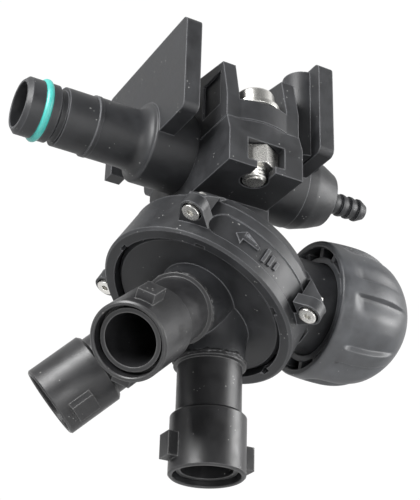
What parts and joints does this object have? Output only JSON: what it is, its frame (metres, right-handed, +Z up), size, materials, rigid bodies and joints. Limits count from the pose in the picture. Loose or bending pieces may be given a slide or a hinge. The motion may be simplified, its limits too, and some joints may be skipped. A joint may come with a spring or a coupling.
{
  "type": "three-way nozzle diverter valve",
  "caption": "Clamp-on diverter valve: side-fed pipe, hinged jaw clamp, hand knob valve and a revolving turret of bayonet outlets.",
  "frame": {"origin": "on the feed pipe's axis, in the middle of the clamp between the two side plates", "axes": "+X along the feed pipe towards the hose barb, +Z up out of the clamp, +Y away from the clamp's bolt"},
  "size_m": [0.1429, 0.0764, 0.1404],
  "materials": {
    "moulded_black": "fine spark-eroded texture, glass-filled nylon",
    "knob_grey": "fine spark-eroded texture, glass-filled nylon",
    "seal_green": "smooth moulded rubber",
    "seal_black": "smooth moulded rubber",
    "stainless": "plain stainless",
    "spring_steel": "drawn wire",
    "white_acetal": "smooth moulded acetal"
  },
  "bodies": {
    "base": {"feed_pipe": "moulded_black", "plug_o_ring": "seal_green", "end_cap": "moulded_black", "end_cap_o_ring": "seal_black", "inlet_seal": "seal_black", "clamp_nut": "stainless", "jaw_hinge_pin": "stainless", "valve_body": "moulded_black", "port_seal": "seal_black", "turret_o_ring": "seal_black", "detent_ball": "stainless", "detent_spring": "spring_steel", "retaining_collar": "moulded_black", "collar_screws": "stainless", "diaphragm": "seal_black", "valve_spring": "spring_steel", "bonnet": "moulded_black", "knob_snap_ring": "spring_steel"},
    "jaw": {"upper_jaw": "moulded_black"},
    "washer": {"clamp_washer": "stainless"},
    "bolt": {"clamp_bolt": "stainless"},
    "turret": {"turret": "moulded_black", "outlet_down": "moulded_black", "outlet_front": "moulded_black", "outlet_rear": "moulded_black"},
    "follower": {"spring_follower": "white_acetal"},
    "thrust_nut": {"thrust_nut": "white_acetal"},
    "knob": {"knob": "knob_grey"}
  },
  "joints": [
    {"name": "turret_spin", "type": "hinge", "parent": "base", "child": "turret", "pos_m": [0, 0, -0.0448], "axis": [-0.5, 0, -0.866], "continuous": true},
    {"name": "bolt_lift", "type": "slide", "parent": "base", "child": "washer", "axis": [0, 0, 1], "range_m": [0, 0.00375]},
    {"name": "bolt_turn", "type": "hinge", "parent": "washer", "child": "bolt", "pos_m": [0, -0.0257, 0], "axis": [0, 0, 1], "range_deg": [0, 1080]},
    {"name": "jaw_hinge", "type": "hinge", "parent": "base", "child": "jaw", "pos_m": [0, 0.0215, 0.001], "axis": [-1, 0, 0], "range_deg": [0, 3.5]},
    {"name": "knob_turn", "type": "hinge", "parent": "base", "child": "knob", "pos_m": [0, 0, -0.0434], "axis": [1, 0, 0], "range_deg": [0, 360]},
    {"name": "thrust_slide", "type": "slide", "parent": "base", "child": "thrust_nut", "axis": [-1, 0, 0], "range_m": [0, 0.003]},
    {"name": "follower_lift", "type": "slide", "parent": "base", "child": "follower", "axis": [1, 0, 0], "range_m": [0, 0.002], "stiffness_N_per_m": 4000, "springref_m": -0.003, "deforming": ["valve_spring"]}
  ],
  "couplings": [
    {"joint": "bolt_turn", "follows": "bolt_lift", "rad_per_m": 5026.5},
    {"joint": "jaw_hinge", "follows": "bolt_lift", "rad_per_m": 16.29},
    {"joint": "knob_turn", "follows": "thrust_slide", "rad_per_m": 2094.4}
  ]
}
